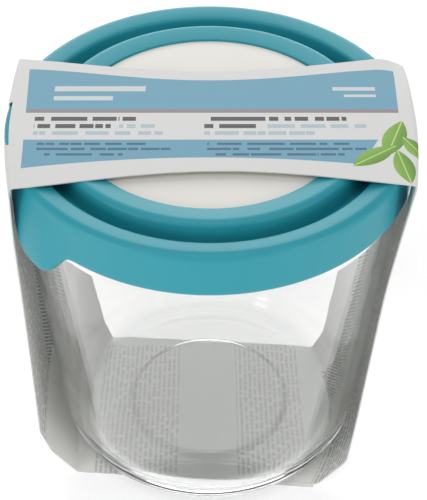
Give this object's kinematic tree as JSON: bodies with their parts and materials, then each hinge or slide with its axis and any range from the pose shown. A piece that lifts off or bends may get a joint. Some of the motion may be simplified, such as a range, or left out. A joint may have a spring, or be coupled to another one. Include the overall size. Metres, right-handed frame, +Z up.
{
  "type": "glass food storage container",
  "caption": "Round tapered glass food keeper with a push-on soft-rimmed lid with pull tab, held in a folded card sleeve.",
  "frame": {"origin": "on the axis of the bowl, at the underside of the sleeve, where the part stands", "axes": "+Z up along the axis of the bowl, X across the two folds of the sleeve, the pull tab towards -X and -Y"},
  "size_m": [0.152, 0.152, 0.1557],
  "materials": {
    "clear_glass": "clear pressed and tempered glass",
    "lid_plastic": "off-white satin polypropylene",
    "lid_elastomer": "teal matt soft elastomer",
    "sleeve_card": "white printed paperboard"
  },
  "bodies": {
    "bowl": {"glass_bowl": "clear_glass"},
    "lid": {"lid_disc": "lid_plastic", "lid_rim": "lid_elastomer"},
    "sleeve": {"card_sleeve": "sleeve_card"}
  },
  "joints": [
    {"name": "lid_lift", "type": "slide", "parent": "bowl", "child": "lid", "axis": [0, 0, 1], "range_m": [0, 0.08], "deforming": ["card_sleeve"]},
    {"name": "sleeve_slide", "type": "slide", "parent": "bowl", "child": "sleeve", "axis": [0, 1, 0], "range_m": [0, 0.13], "deforming": ["card_sleeve"]}
  ]
}
